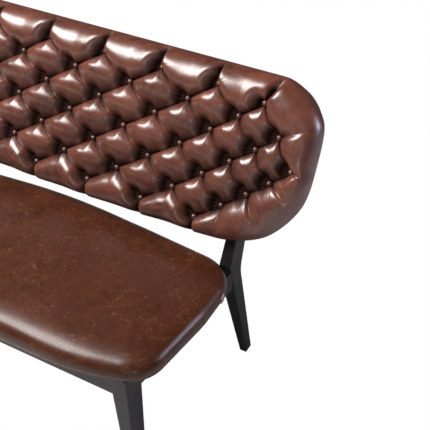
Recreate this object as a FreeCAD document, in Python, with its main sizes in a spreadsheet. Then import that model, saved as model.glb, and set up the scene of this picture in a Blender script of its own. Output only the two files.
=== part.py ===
import FreeCAD, Part
import math
import os
import re

import Sketcher
from FreeCAD import Placement, Rotation, Vector

# A two-seat settee: a deep-buttoned leather back and a plain leather seat on a black wooden frame.
# X runs along the settee, the front looks towards -Y and Z is up from the floor.

os.makedirs("parts", exist_ok=True)
doc = FreeCAD.newDocument("buttoned_settee")

# Driving dimensions, in millimetres and degrees
SIZES = [
    ("front_face", 279, "from the middle to the front legs' front face"),
    ("front_leg_outer", 451, "from the middle to a front leg's outer face"),
    ("front_leg_width", 45, "front leg across, at its top"),
    ("front_leg_depth", 60, "front leg from front to back, at its top"),
    ("front_foot_width", 22, "front leg across, at the floor"),
    ("front_foot_splay", 6, "front foot outside the leg's top"),
    ("front_foot_depth", 44, "front leg from front to back, at the floor"),
    ("rear_leg_outer", 488, "from the middle to a rear leg's outer face"),
    ("rear_leg_width", 32, "rear leg across, at the seat"),
    ("rear_foot_width", 20, "rear leg across, at the floor"),
    ("upper_width", 28, "rear leg across, behind the back"),
    ("rear_foot_face", 235, "from the middle to the rear feet's front edge"),
    ("rear_foot_depth", 30, "rear leg from front to back, at the floor"),
    ("bend_face", 130, "from the middle to the rear legs' front edge at the bend"),
    ("bend_height", 408, "height of the bend in the rear legs' front edge"),
    ("bend_depth", 56, "level distance between the leg's front and back bends"),
    ("bend_drop", 42, "how far the back bend lies below the front bend"),
    ("lean", 22.5, "lean of the back from upright"),
    ("upper_length", 330, "rear leg above the bend"),
    ("upper_depth", 32, "rear leg from front to back, at its top"),
    ("bend_round", 90, "radius of the rear leg's bend, at its back"),
    ("edge_round", 3, "radius of the wooden edges"),
    ("glide_height", 3, "foot glide's thickness"),
    ("glide_radius", 8, "foot glide's radius"),
    ("rail_bottom", 325, "height of the rails' lower edge"),
    ("rail_height", 62, "rail from top to bottom"),
    ("rail_thickness", 24, "rail's thickness"),
    ("rail_setback", 3, "rail behind the legs' faces"),
    ("rear_rail_gap", 2, "rear rail in front of the rear legs' bend"),
    ("rail_bury", 8, "rail past the leg's face before it is trimmed"),
    ("centre_rail_width", 30, "centre rail across"),
    ("block_height", 40, "corner block from top to bottom"),
    ("block_reach", 36, "corner block's start from the leg, along a rail"),
    ("block_thickness", 34, "corner block along a rail"),
    ("dowel_radius", 4, "dowel's radius"),
    ("dowel_length", 48, "dowel's length"),
    ("dowel_bury", 14, "centre rail's dowel in the rail that it meets"),
    ("dowel_rise", 16, "lower dowel above the rail's lower edge"),
    ("dowel_spacing", 30, "distance between the two dowels of a joint"),
    ("hole_clearance", 0.15, "play round a dowel, bolt or screw, on its radius"),
    ("soft_clearance", 0.3, "play between leather, foam and boards"),
    ("leather", 2, "leather's thickness"),
    ("dust_cloth", 1, "dust cover's thickness"),
    ("seat_front", 314, "from the middle to the seat's front edge"),
    ("seat_shoulder_in", 193, "where the front edge turns back, in from the widest point"),
    ("seat_shoulder_radius", 600, "radius of that turn"),
    ("seat_corner_in", 23, "the seat's front corner, in from its widest point"),
    ("seat_corner_front", 270, "the same corner, towards the front"),
    ("seat_corner_radius", 95, "radius of the seat's front corner"),
    ("seat_half_width", 519, "from the middle to the seat's widest point"),
    ("seat_widest_ahead", 50, "that point, towards the front"),
    ("seat_side_radius", 300, "radius of the seat's side at that point"),
    ("seat_rear_corner_in", 3, "the seat's rear corner, in from its widest point"),
    ("seat_rear_corner", 122, "the same corner, towards the back"),
    ("seat_rear_corner_radius", 96, "radius of the seat's rear corner"),
    ("seat_rear", 159, "from the middle to the seat's rear edge"),
    ("seat_rear_radius", 1500, "radius of the rear edge's bow"),
    ("seat_board_thickness", 12, "plywood under the seat"),
    ("seat_rise", 67, "seat's crown above its leather's lower edge"),
    ("seat_crown_radius", 9000, "radius of the seat's crown"),
    ("seat_roll", 40, "radius of the seat's rolled upper edge"),
    ("seat_draw_in", 7, "how far the lower edge of the seat is drawn in"),
    ("seat_welt_radius", 1.8, "radius of the welt under the seat's edge"),
    ("seat_screw_radius", 2, "seat screw's radius"),
    ("seat_screw_bite", 9, "seat screw's length in the board"),
    ("seat_screw_head", 4.5, "radius of the seat screw's head"),
    ("seat_screw_head_height", 3, "height of the seat screw's head"),
    ("tab_width", 14, "leather tab in the seat's seam, along the seam"),
    ("tab_behind", 24, "leather tab behind the middle"),
    ("tab_lift", 8, "leather tab's lower end above the rails"),
    ("tab_length", 20, "leather tab from top to bottom"),
    ("back_half_width", 652, "from the middle to the back's end, at its top"),
    ("back_lower_half_width", 641, "from the middle to the back's end, at its foot"),
    ("back_top", 489, "back's top edge above the bend, along the lean"),
    ("back_bottom", 63, "back's lower edge above the bend, along the lean"),
    ("back_bottom_rise", 17, "rise of the lower edge towards the ends"),
    ("back_top_radius", 118, "radius of the back's upper corners"),
    ("back_bottom_radius", 200, "radius of the back's lower corners"),
    ("back_bottom_bow", 8000, "radius of the lower edge's bow"),
    ("back_panel_thickness", 4, "outside panel of the back"),
    ("back_board_thickness", 15, "plywood inside the back"),
    ("back_draw_in", 8, "how far the leather is drawn in at the rear"),
    ("back_welt_radius", 1.7, "radius of the welt round the outside panel"),
    ("button_height", 42, "leather under the buttons, in front of the legs"),
    ("groove_height", 50, "leather in the folds between buttons, likewise"),
    ("crest_height", 72, "crest of each diamond, likewise"),
    ("border_height", 70, "crest of the rolled border, likewise"),
    ("pleat_depth", 14, "depth of the pleats across the border"),
    ("top_row", 441, "top row of buttons above the bend, along the lean"),
    ("row_step", 54, "distance between rows of buttons"),
    ("column_step", 79.5, "half the distance between buttons in a row"),
    ("end_shrink", 0.89, "each end step as a share of the step before it"),
    ("end_droop", 42, "drop of the outermost buttons below their row"),
    ("droop_start", 362, "from the middle to where the rows begin to drop"),
    ("end_hub_height", 300, "where the end pleats point from, along the lean"),
    ("button_radius", 7.2, "button's radius"),
    ("button_dome", 5.5, "button's dome"),
    ("button_lift", 9.5, "button's rim above the leather under it"),
    ("shank_radius", 1.5, "button's shank"),
    ("shank_length", 15.5, "button's shank below its rim"),
    ("tie_radius", 1.2, "twine that holds a button"),
    ("tie_hole_radius", 2, "hole for the twine"),
    ("bolt_radius", 4, "bolt through the rear leg into the back"),
    ("bolt_head_radius", 6.5, "bolt head's radius"),
    ("bolt_head_height", 5, "bolt head's height"),
    ("bolt_wood", 24, "wood under the bolt's washer"),
    ("bolt_low", 150, "lower bolt above the bend, along the lean"),
    ("bolt_spacing", 120, "distance between the two bolts of a leg"),
    ("washer_radius", 8, "washer's radius"),
    ("washer_thickness", 1.6, "washer's thickness"),
    ("t_nut_radius", 5.2, "barrel of the T-nut"),
    ("t_nut_flange_radius", 10, "flange of the T-nut"),
    ("t_nut_flange", 1.6, "thickness of the T-nut's flange"),
    ("t_nut_length", 12, "T-nut's length"),
]

# Counts that set out the buttoning
ROWS = 7
ROWS_ABOVE = 2
HALF_COLUMNS = 9
PLAIN_COLUMNS = 4

# Rough reach of a sketch before its sizes are set
SKETCH_START = 100

sheet = doc.addObject("Spreadsheet::Sheet", "Sizes")
for line, (alias, value, meaning) in enumerate(SIZES, start=1):
    sheet.set(f"A{line}", meaning)
    sheet.set(f"B{line}", str(value))
    sheet.setAlias(f"B{line}", alias)
doc.recompute()

ALIASES = {alias for alias, value, meaning in SIZES}
SIDES = {"left": -1, "right": 1}
sub_parts = []


def size(alias):
    """A driving dimension, read from the sheet."""
    return float(sheet.get(alias))


def formula(text):
    """A formula in the sheet's aliases, as an expression of the document."""
    return re.sub(r"[a-z_]+", lambda word: f"Sizes.{word[0]}" if word[0] in ALIASES else word[0], text)


def bind(thing, **formulas):
    """Ties properties of an object to formulas; a double underscore stands for a dot."""
    for name, text in formulas.items():
        thing.setExpression(name.replace("__", "."), formula(text))
    return thing


def keep(thing, label):
    """Marks a finished object as the sub-part that its label names."""
    thing.Label = label
    sub_parts.append(thing)
    return thing


def box(name, length, width, height, x, y, z):
    solid = doc.addObject("Part::Box", name)
    bind(solid, Length=length, Width=width, Height=height)
    return bind(solid, Placement__Base__x=x, Placement__Base__y=y, Placement__Base__z=z)


def cylinder(name, radius, height, x, y, z, axis=Vector(0, 0, 1)):
    solid = doc.addObject("Part::Cylinder", name)
    solid.Placement = Placement(Vector(), Rotation(Vector(0, 0, 1), axis))
    bind(solid, Radius=radius, Height=height)
    return bind(solid, Placement__Base__x=x, Placement__Base__y=y, Placement__Base__z=z)


def compound(name, solids):
    group = doc.addObject("Part::Compound", name)
    group.Links = solids
    return group


def cut(name, base, tool):
    solid = doc.addObject("Part::Cut", name)
    solid.Base = base
    solid.Tool = tool
    return solid


def feature(name, shape):
    """A free form, worked out from the sheet's sizes."""
    solid = doc.addObject("Part::Feature", name)
    solid.Shape = shape
    return solid


def round_edges(name, base, radius, wanted):
    """Rounds the edges of a solid that the test picks by their direction and middle."""
    doc.recompute()
    solid = doc.addObject("Part::Fillet", name)
    solid.Base = base
    amount = size(radius)
    picked = []
    for number, edge in enumerate(base.Shape.Edges, start=1):
        span = edge.Vertexes[-1].Point - edge.Vertexes[0].Point
        if span.Length > 0 and wanted(span.normalize(), edge.BoundBox.Center):
            picked.append((number, amount, amount))
    solid.Edges = picked
    return solid


def draw_polygon(body, name, role, corners):
    """A closed sketch on an origin plane; each corner is a pair of formulas."""
    sketch = body.newObject("Sketcher::SketchObject", name)
    plane = next(item for item in body.Origin.OriginFeatures if item.Role == role)
    sketch.AttachmentSupport = (plane, [""])
    sketch.MapMode = "FlatFace"
    count = len(corners)
    turn = 2 * math.pi / count
    start = [Vector(math.cos(turn * step), math.sin(turn * step), 0) * SKETCH_START for step in range(count)]
    for step in range(count):
        sketch.addGeometry(Part.LineSegment(start[step], start[(step + 1) % count]))
    for step in range(count):
        sketch.addConstraint(Sketcher.Constraint("Coincident", step, 2, (step + 1) % count, 1))
    for step, (across, along) in enumerate(corners):
        number = sketch.addConstraint(Sketcher.Constraint("DistanceX", -1, 1, step, 1, start[step].x))
        sketch.setExpression(f"Constraints[{number}]", formula(across))
        number = sketch.addConstraint(Sketcher.Constraint("DistanceY", -1, 1, step, 1, start[step].y))
        sketch.setExpression(f"Constraints[{number}]", formula(along))
    return sketch


def rounded_wire(corners):
    """A closed wire of lines and arcs through corners, each a point and a radius."""
    edges = []
    ends = []
    count = len(corners)
    for step, (point, radius) in enumerate(corners):
        before = (corners[step - 1][0] - point).normalize()
        after = (corners[(step + 1) % count][0] - point).normalize()
        half = before.getAngle(after) / 2
        reach = radius / math.tan(half)
        inward = (before + after).normalize()
        middle = point + inward * (radius / math.sin(half) - radius)
        ends.append((point + before * reach, middle, point + after * reach))
    for step, (first, middle, last) in enumerate(ends):
        edges.append(Part.Arc(first, middle, last).toShape())
        edges.append(Part.LineSegment(last, ends[(step + 1) % count][0]).toShape())
    return Part.Wire(edges)


def cord_round(path, radius):
    """A round cord along a closed wire."""
    start = path.Edges[-1].firstVertex().Point
    along = path.Edges[-1].tangentAt(path.Edges[-1].FirstParameter)
    ring = Part.Wire(Part.makeCircle(radius, start, along))
    return path.makePipeShell([ring], True, True)


# Frame: legs
RAIL_TOP = "rail_bottom + rail_height"


def front_leg(side):
    """A post that tapers on its two inner faces."""
    sign = SIDES[side]
    leg = doc.addObject("Part::Wedge", f"front_leg_blank_{side}")
    leg.Placement = Placement(Vector(), Rotation(Vector(1, 0, 0), 90))
    foot = ["front_leg_outer + front_foot_splay - front_foot_width", "front_leg_outer + front_foot_splay"]
    top = ["front_leg_outer - front_leg_width", "front_leg_outer"]
    if sign < 0:
        foot = [f"-({edge})" for edge in reversed(foot)]
        top = [f"-({edge})" for edge in reversed(top)]
    bind(leg, Xmin=foot[0], Xmax=foot[1], X2min=top[0], X2max=top[1])
    bind(leg, Ymin="glide_height", Ymax=RAIL_TOP)
    bind(leg, Zmin="front_leg_depth - front_foot_depth", Zmax="front_leg_depth")
    bind(leg, Z2min="0 * front_leg_depth", Z2max="front_leg_depth")
    bind(leg, Placement__Base__y="front_leg_depth - front_face")
    return round_edges(f"front_leg_rounded_{side}", leg, "edge_round", lambda way, middle: abs(way.z) > 0.9)


def rear_leg():
    """The left cranked leg: it rakes back to the floor and leans back behind the back."""
    body = doc.addObject("PartDesign::Body", "rear_leg_blank_left")
    top_y = "bend_face + upper_length * sin(lean)"
    top_z = "bend_height + upper_length * cos(lean)"
    profile = draw_polygon(body, "rear_leg_profile_left", "YZ_Plane", [
        ("rear_foot_face", "glide_height"),
        ("rear_foot_face + rear_foot_depth", "glide_height"),
        ("bend_face + bend_depth", "bend_height - bend_drop"),
        (f"{top_y} + upper_depth * cos(lean)", f"{top_z} - upper_depth * sin(lean)"),
        (top_y, top_z),
        ("bend_face", "bend_height"),
    ])
    pad = body.newObject("PartDesign::Pad", "rear_leg_pad_left")
    pad.Profile = profile
    bind(pad, Length="rear_leg_outer")
    pad.Reversed = True
    taper = draw_polygon(body, "rear_leg_taper_left", "XZ_Plane", [
        ("0 * rear_leg_outer", "0 * rear_leg_outer"),
        ("rear_foot_width - rear_leg_outer", "0 * rear_leg_outer"),
        ("rear_leg_width - rear_leg_outer", "rail_bottom - rail_height"),
        ("rear_leg_width - rear_leg_outer", RAIL_TOP),
        ("upper_width - rear_leg_outer", "bend_height + rail_height"),
        ("upper_width - rear_leg_outer", "bend_height + upper_length"),
        ("0 * rear_leg_outer", "bend_height + upper_length"),
    ])
    pocket = body.newObject("PartDesign::Pocket", "rear_leg_inner_face_left")
    pocket.Profile = taper
    pocket.Type = "ThroughAll"
    pocket.Midplane = True
    doc.recompute()
    rounded = body.newObject("PartDesign::Fillet", "rear_leg_bend_round_left")
    bends = []
    for number, edge in enumerate(pocket.Shape.Edges, start=1):
        middle = edge.BoundBox.Center
        across = edge.BoundBox.XLength > size("upper_width") / 2
        near_bend = abs(middle.z - size("bend_height") + size("bend_drop") / 2) < size("bend_drop")
        behind = middle.y > size("bend_face") + size("bend_depth") / 2
        if across and near_bend and behind:
            bends.append(f"Edge{number}")
    rounded.Base = (pocket, bends)
    bind(rounded, Radius="bend_round")
    doc.recompute()
    softened = body.newObject("PartDesign::Fillet", "rear_leg_edges_left")
    outer = -size("rear_leg_outer")
    arrises = []
    for number, edge in enumerate(rounded.Shape.Edges, start=1):
        if abs(edge.BoundBox.Center.x - outer) < size("edge_round") and edge.BoundBox.XLength < 1:
            arrises.append(f"Edge{number}")
    softened.Base = (rounded, arrises)
    bind(softened, Radius="edge_round")
    return body


def mirrored(name, source):
    """The same solid on the other side of the middle."""
    solid = doc.addObject("Part::Mirroring", name)
    solid.Source = source
    solid.Normal = Vector(1, 0, 0)
    return solid


legs = {f"front_{side}": front_leg(side) for side in SIDES}
legs["rear_left"] = rear_leg()
legs["rear_right"] = mirrored("rear_leg_blank_right", legs["rear_left"])
doc.recompute()
leg_blanks = compound("leg_blanks", list(legs.values()))

# Frame: rails, which meet the legs' faces
toe_out = math.degrees(math.atan2(size("rear_leg_outer") - size("front_leg_outer"),
                                  size("bend_face") + size("front_face") - size("front_leg_depth")))
REAR_RAIL_FACE = "bend_face - rear_rail_gap - rail_thickness"
rear_rail_face = size("bend_face") - size("rear_rail_gap") - size("rail_thickness")
LONG_RAIL = "2 * (front_leg_outer - front_leg_width + rail_bury)"
REAR_RAIL = "2 * (rear_leg_outer - rear_leg_width + 2 * rail_bury)"
SIDE_RAIL = "bend_face + front_face - front_leg_depth + 3 * rail_bury"
rails = {
    "front_rail": box("front_rail_blank", LONG_RAIL, "rail_thickness", "rail_height",
                      f"-({LONG_RAIL}) / 2", "rail_setback - front_face", "rail_bottom"),
    "rear_rail": box("rear_rail_blank", REAR_RAIL, "rail_thickness", "rail_height",
                     f"-({REAR_RAIL}) / 2", REAR_RAIL_FACE, "rail_bottom"),
}


def side_rail():
    """The right rail from the front leg to the rear leg, set out a little towards the back."""
    rail = doc.addObject("Part::Box", "side_rail_blank_right")
    rail.Placement = Placement(Vector(), Rotation(Vector(0, 0, 1), -toe_out))
    bind(rail, Length="rail_thickness", Width=SIDE_RAIL, Height="rail_height")
    bind(rail, Placement__Base__x="front_leg_outer - rail_setback - rail_thickness")
    bind(rail, Placement__Base__y="front_leg_depth - front_face - rail_bury")
    return bind(rail, Placement__Base__z="rail_bottom")


rails["side_rail_right"] = side_rail()
rails["side_rail_left"] = mirrored("side_rail_blank_left", rails["side_rail_right"])


def side_rail_across(y, depth):
    """Distance from the middle to a line in the side rail, so far in from its outer face."""
    start = size("front_leg_depth") - size("front_face") - size("rail_bury")
    slope = math.tan(math.radians(toe_out))
    inner = (size("rail_thickness") - depth) / math.cos(math.radians(toe_out))
    rail_side = size("front_leg_outer") - size("rail_setback") - size("rail_thickness")
    return rail_side + inner + (y - start) * slope


# Frame: dowels in the rails' ends
def dowel_lines():
    """Middle and direction of each dowel."""
    low = size("rail_bottom") + size("dowel_rise")
    heights = [low, low + size("dowel_spacing")]
    middle_height = low + size("dowel_spacing") / 2
    half_rail = size("rail_thickness") / 2
    front_y = size("rail_setback") - size("front_face") + half_rail
    rear_y = rear_rail_face + half_rail
    front_x = size("front_leg_outer") - size("front_leg_width")
    inside = size("dowel_length") / 2 - size("dowel_bury")
    rear_x = side_rail_across(rear_y, size("rail_thickness")) - inside
    front_end = size("front_leg_depth") - size("front_face")
    rear_end = size("bend_face") + size("rail_bury")
    lines = []
    for sign in SIDES.values():
        way = Vector(sign * math.sin(math.radians(toe_out)), math.cos(math.radians(toe_out)), 0)
        for height in heights:
            lines.append((Vector(sign * front_x, front_y, height), Vector(sign, 0, 0)))
            lines.append((Vector(sign * rear_x, rear_y, height), Vector(sign, 0, 0)))
            lines.append((Vector(sign * side_rail_across(front_end, half_rail), front_end, height), way))
        rear_middle = Vector(sign * side_rail_across(rear_end, half_rail), rear_end, middle_height)
        lines.append((rear_middle, way))
    centre_height = size("rail_bottom") + size("rail_height") - size("block_height") / 2
    for y in (front_y + half_rail + inside, rear_rail_face - inside):
        lines.append((Vector(0, y, centre_height), Vector(0, 1, 0)))
    return lines


def dowels(name, radius, length):
    """Round pins on the dowel lines, as a group."""
    pins = []
    for number, (middle, way) in enumerate(dowel_lines(), start=1):
        pin = doc.addObject("Part::Cylinder", f"{name}_{number}")
        bind(pin, Radius=radius, Height=length)
        doc.recompute()
        start = middle - way * (pin.Height.Value / 2)
        pin.Placement = Placement(start, Rotation(Vector(0, 0, 1), way))
        pins.append(pin)
    return compound(name, pins)


keep(dowels("dowel_pins", "dowel_radius", "dowel_length"), "rail_dowels")
dowel_holes = dowels("dowel_holes", "dowel_radius + hole_clearance", "dowel_length + 2 * hole_clearance")

side_blanks = compound("side_rail_blanks", [rails["side_rail_left"], rails["side_rail_right"]])
for label, neighbours in (("front_rail", leg_blanks), ("rear_rail", side_blanks)):
    trimmed = cut(f"{label}_trimmed", rails[label], neighbours)
    softened = round_edges(f"{label}_rounded", trimmed, "edge_round",
                           lambda way, middle: abs(way.x) > 0.99 and middle.z < size("rail_bottom") + 1)
    keep(cut(f"{label}_drilled", softened, dowel_holes), label)
for side in SIDES:
    label = f"side_rail_{side}"
    trimmed = cut(f"{label}_trimmed", rails[label], leg_blanks)
    keep(cut(f"{label}_drilled", trimmed, dowel_holes), label)

centre_length = f"{REAR_RAIL_FACE} + front_face - rail_setback - rail_thickness"
centre_rail = box("centre_rail_blank", "centre_rail_width", centre_length, "block_height",
                  "-centre_rail_width / 2", "rail_setback + rail_thickness - front_face",
                  f"{RAIL_TOP} - block_height")
keep(cut("centre_rail_drilled", centre_rail, dowel_holes), "centre_rail")


# Frame: corner blocks and the screws that go up through them into the seat board
def block_corners(sign, rear):
    """Plan of a block across a corner, behind the leg; it meets both rails' inner faces."""
    play = size("hole_clearance")
    inward = -1 if rear else 1
    if rear:
        rail_y = rear_rail_face - play
        leg_x = side_rail_across(rail_y, size("rail_thickness"))
        leg_y = rail_y
    else:
        rail_y = size("rail_setback") + size("rail_thickness") - size("front_face") + play
        leg_x = size("front_leg_outer") - size("front_leg_width")
        leg_y = size("front_leg_depth") - size("front_face")
    near_x = leg_x - size("block_reach")
    near_y = leg_y + inward * size("block_reach")
    far_y = near_y + inward * size("block_thickness")
    plan = [
        Vector(near_x, rail_y, 0),
        Vector(near_x - size("block_thickness"), rail_y, 0),
        Vector(side_rail_across(far_y, size("rail_thickness")) - play, far_y, 0),
        Vector(side_rail_across(near_y, size("rail_thickness")) - play, near_y, 0),
    ]
    return [Vector(sign * point.x, point.y, 0) for point in plan]


blocks = []
screw_spots = []
for side, sign in SIDES.items():
    for rear in (False, True):
        plan = block_corners(sign, rear)
        name = f"corner_block_{'rear' if rear else 'front'}_{side}"
        outline = feature(f"{name}_plan", Part.makePolygon(plan + plan[:1]))
        block = doc.addObject("Part::Extrusion", name)
        block.Base = outline
        block.DirMode = "Custom"
        block.Dir = Vector(0, 0, 1)
        block.Solid = True
        bind(block, LengthFwd="block_height", Placement__Base__z=f"{RAIL_TOP} - block_height")
        blocks.append(block)
        middle = (plan[0] + plan[1] + plan[2] + plan[3]) * 0.25
        screw_spots.append((f"{middle.x}", f"{middle.y}"))


def seat_screw(number, spot):
    x, y = spot
    shank = cylinder(f"seat_screw_shank_{number}", "seat_screw_radius",
                     "block_height + seat_screw_bite", x, y, f"{RAIL_TOP} - block_height")
    head = cylinder(f"seat_screw_head_{number}", "seat_screw_head", "seat_screw_head_height",
                    x, y, f"{RAIL_TOP} - block_height - seat_screw_head_height")
    screw = doc.addObject("Part::Fuse", f"seat_screw_{number}")
    screw.Base = head
    screw.Tool = shank
    return screw


screws = [seat_screw(number, spot) for number, spot in enumerate(screw_spots, 1)]
keep(compound("screws", screws), "seat_screws")
screw_holes = compound("screw_holes", [
    cylinder(f"screw_hole_{number}", "seat_screw_radius + hole_clearance",
             "block_height + seat_screw_bite + hole_clearance", x, y, f"{RAIL_TOP} - block_height")
    for number, (x, y) in enumerate(screw_spots, 1)])
keep(cut("blocks_drilled", compound("blocks", blocks), screw_holes), "corner_blocks")

# Frame: glides under the feet
glides = []
for side, sign in SIDES.items():
    glides.append(cylinder(f"front_glide_{side}", "glide_radius", "glide_height",
                           f"{sign} * (front_leg_outer + front_foot_splay - front_foot_width / 2)",
                           "front_foot_depth / 2 - front_face", "0 * glide_height"))
    glides.append(cylinder(f"rear_glide_{side}", "glide_radius", "glide_height",
                           f"{sign} * (rear_leg_outer - rear_foot_width / 2)",
                           "rear_foot_face + rear_foot_depth / 2", "0 * glide_height"))
keep(compound("glides", glides), "foot_glides")

# Frame: cloth stapled under the rails
cloth_front = size("rail_setback") + size("rail_thickness") / 2 - size("front_face")
cloth_rear = rear_rail_face + size("rail_thickness") / 2
cloth_notch_front = size("front_leg_depth") - size("front_face") + size("rail_setback")
cloth_leg_front = size("front_leg_outer") - size("front_leg_width") - size("rail_setback")
half_rail = size("rail_thickness") / 2
cloth_half = [
    Vector(cloth_leg_front, cloth_front, 0),
    Vector(cloth_leg_front, cloth_notch_front, 0),
    Vector(side_rail_across(cloth_notch_front, half_rail), cloth_notch_front, 0),
    Vector(side_rail_across(cloth_rear, half_rail), cloth_rear, 0),
]
cloth_plan = cloth_half + [Vector(-point.x, point.y, 0) for point in reversed(cloth_half)]
dust_cover = doc.addObject("Part::Extrusion", "dust_cover_cloth")
dust_cover.Base = feature("dust_cover_plan", Part.makePolygon(cloth_plan + cloth_plan[:1]))
dust_cover.DirMode = "Custom"
dust_cover.Dir = Vector(0, 0, 1)
dust_cover.Solid = True
bind(dust_cover, LengthFwd="dust_cloth", Placement__Base__z="rail_bottom - dust_cloth")
keep(dust_cover, "dust_cover")


# Seat
def seat_outline(inset, height):
    """The seat's plan: bowed front shoulders, full sides and a nearly straight rear edge."""
    widest = size("seat_half_width")
    half = [
        (widest - size("seat_shoulder_in"), -size("seat_front"), size("seat_shoulder_radius")),
        (widest - size("seat_corner_in"), -size("seat_corner_front"), size("seat_corner_radius")),
        (widest, -size("seat_widest_ahead"), size("seat_side_radius")),
        (widest - size("seat_rear_corner_in"), size("seat_rear_corner"), size("seat_rear_corner_radius")),
    ]
    corners = [(Vector(x, y, 0), radius) for x, y, radius in half]
    corners.append((Vector(0, size("seat_rear"), 0), size("seat_rear_radius")))
    corners += [(Vector(-x, y, 0), radius) for x, y, radius in reversed(half)]
    wire = rounded_wire(corners)
    if inset > 0:
        wire = wire.makeOffset2D(-inset)
    return wire.translated(Vector(0, 0, height))


seat_base = size("rail_bottom") + size("rail_height")
welt_gap = 2 * size("soft_clearance") + 2 * size("seat_welt_radius")
cover_base = seat_base + welt_gap


def seat_form(shrink):
    """The crowned seat with a rolled upper edge and a drawn-in foot, smaller all round by a given amount."""
    base = cover_base + shrink
    crown = cover_base + size("seat_rise") - shrink
    half_way = (base + crown) / 2
    ball = Part.makeSphere(size("seat_crown_radius"), Vector(0, 0, crown - size("seat_crown_radius")))
    block = Part.Face(seat_outline(shrink, base)).extrude(Vector(0, 0, 2 * size("seat_rise"))).common(ball)
    upper = [edge for edge in block.Edges if edge.BoundBox.ZMin > half_way]
    rolled = block.makeFillet(size("seat_roll") - shrink, upper)
    lower = [edge for edge in rolled.Edges if edge.BoundBox.ZMax < base + shrink + 1]
    return rolled.makeFillet(size("seat_draw_in") - shrink, lower)


seat_mouth = Part.Face(seat_outline(size("seat_draw_in") + size("leather"), cover_base - 1))
seat_opening = seat_mouth.extrude(Vector(0, 0, size("seat_rise") / 2))
seat_leather = seat_form(0).cut(seat_form(size("leather"))).cut(seat_opening)
keep(feature("seat_leather", seat_leather), "seat_cover")

foam_shrink = size("leather") + size("soft_clearance")
foam_base = seat_base + size("seat_board_thickness") + size("soft_clearance")
below_foam = Part.makeBox(4 * size("seat_half_width"), 4 * size("seat_half_width"), foam_base,
                          Vector(-2 * size("seat_half_width"), -2 * size("seat_half_width"), 0))
keep(feature("seat_padding", seat_form(foam_shrink).cut(below_foam)), "seat_foam")

board_inset = size("seat_draw_in") + size("leather") + size("soft_clearance")
seat_board = doc.addObject("Part::Extrusion", "seat_board_blank")
seat_board.Base = feature("seat_board_plan", seat_outline(board_inset, 0))
seat_board.DirMode = "Custom"
seat_board.Dir = Vector(0, 0, 1)
seat_board.Solid = True
bind(seat_board, LengthFwd="seat_board_thickness", Placement__Base__z=RAIL_TOP)
keep(cut("seat_board_drilled", seat_board, screw_holes), "seat_board")

welt_path = seat_outline(size("seat_draw_in") - size("seat_welt_radius"),
                         seat_base + size("soft_clearance") + size("seat_welt_radius"))
keep(feature("seat_cord", cord_round(welt_path, size("seat_welt_radius"))), "seat_welt")

tab = doc.addObject("Part::Box", "tab_leather")
side_run = size("seat_rear_corner") + size("seat_widest_ahead")
tab_angle = math.degrees(math.atan2(size("seat_rear_corner_in"), side_run))
tab.Placement = Placement(Vector(), Rotation(Vector(0, 0, 1), tab_angle))
bind(tab, Length="leather", Width="tab_width", Height="tab_length")
TAB_IN = "seat_rear_corner_in * (tab_behind + seat_widest_ahead) / (seat_rear_corner + seat_widest_ahead)"
bind(tab, Placement__Base__x=f"seat_half_width - {TAB_IN} + soft_clearance", Placement__Base__y="tab_behind")
bind(tab, Placement__Base__z=f"{RAIL_TOP} + tab_lift")
keep(tab, "seat_tab")


# Back: pieces are drawn upright, x along the back, z up it and -y in front of the legs, then leaned
def lean_back(thing):
    thing.Placement = Placement(Vector(), Rotation(Vector(1, 0, 0), -size("lean")))
    bind(thing, Placement__Base__y="bend_face", Placement__Base__z="bend_height")
    return bind(thing, Placement__Rotation__Angle="-lean")


def back_outline(inset):
    """The back's front view: rounded upper corners, larger lower ones and a slightly bowed foot."""
    top = size("back_top")
    foot = size("back_bottom")
    foot_end = foot + size("back_bottom_rise")
    wide = size("back_half_width")
    narrow = size("back_lower_half_width")
    wire = rounded_wire([
        (Vector(wide, 0, top), size("back_top_radius")),
        (Vector(narrow, 0, foot_end), size("back_bottom_radius")),
        (Vector(0, 0, foot), size("back_bottom_bow")),
        (Vector(-narrow, 0, foot_end), size("back_bottom_radius")),
        (Vector(-wide, 0, top), size("back_top_radius")),
    ])
    return wire.makeOffset2D(-inset) if inset > 0 else wire


def back_plate(name, inset, offset, thickness):
    """A flat board of the back's outline, in front of the legs by an offset."""
    plan = feature(f"{name}_plan", back_outline(inset))
    plate = doc.addObject("Part::Extrusion", name)
    plate.Base = plan
    plate.DirMode = "Custom"
    plate.Dir = Vector(0, -1, 0)
    plate.Solid = True
    return bind(plate, LengthFwd=thickness, Placement__Base__y=f"-({offset})")


def columns_of(row):
    """Columns of a row's buttons, in half steps from the middle."""
    last = HALF_COLUMNS - abs(row - ROWS_ABOVE)
    return range(-last, last + 1, 2)


def column_across(column):
    """Distance of a column from the middle; the steps shrink towards the ends."""
    across = 0
    step = size("column_step")
    for count in range(1, abs(column) + 1):
        if count > PLAIN_COLUMNS:
            step *= size("end_shrink")
        across += step
    return math.copysign(across, column)


def button_spot(row, column):
    """Place of a button in the plane of the back; the rows drop a little at the ends."""
    across = column_across(column)
    room = column_across(HALF_COLUMNS) - size("droop_start")
    droop = size("end_droop") * (max(0, abs(across) - size("droop_start")) / room) ** 2
    return Vector(across, 0, size("top_row") - row * size("row_step") - droop)


def raised(spot, height):
    """A point in front of the legs' plane by a height."""
    return Vector(spot.x, -height, spot.z)


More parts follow.
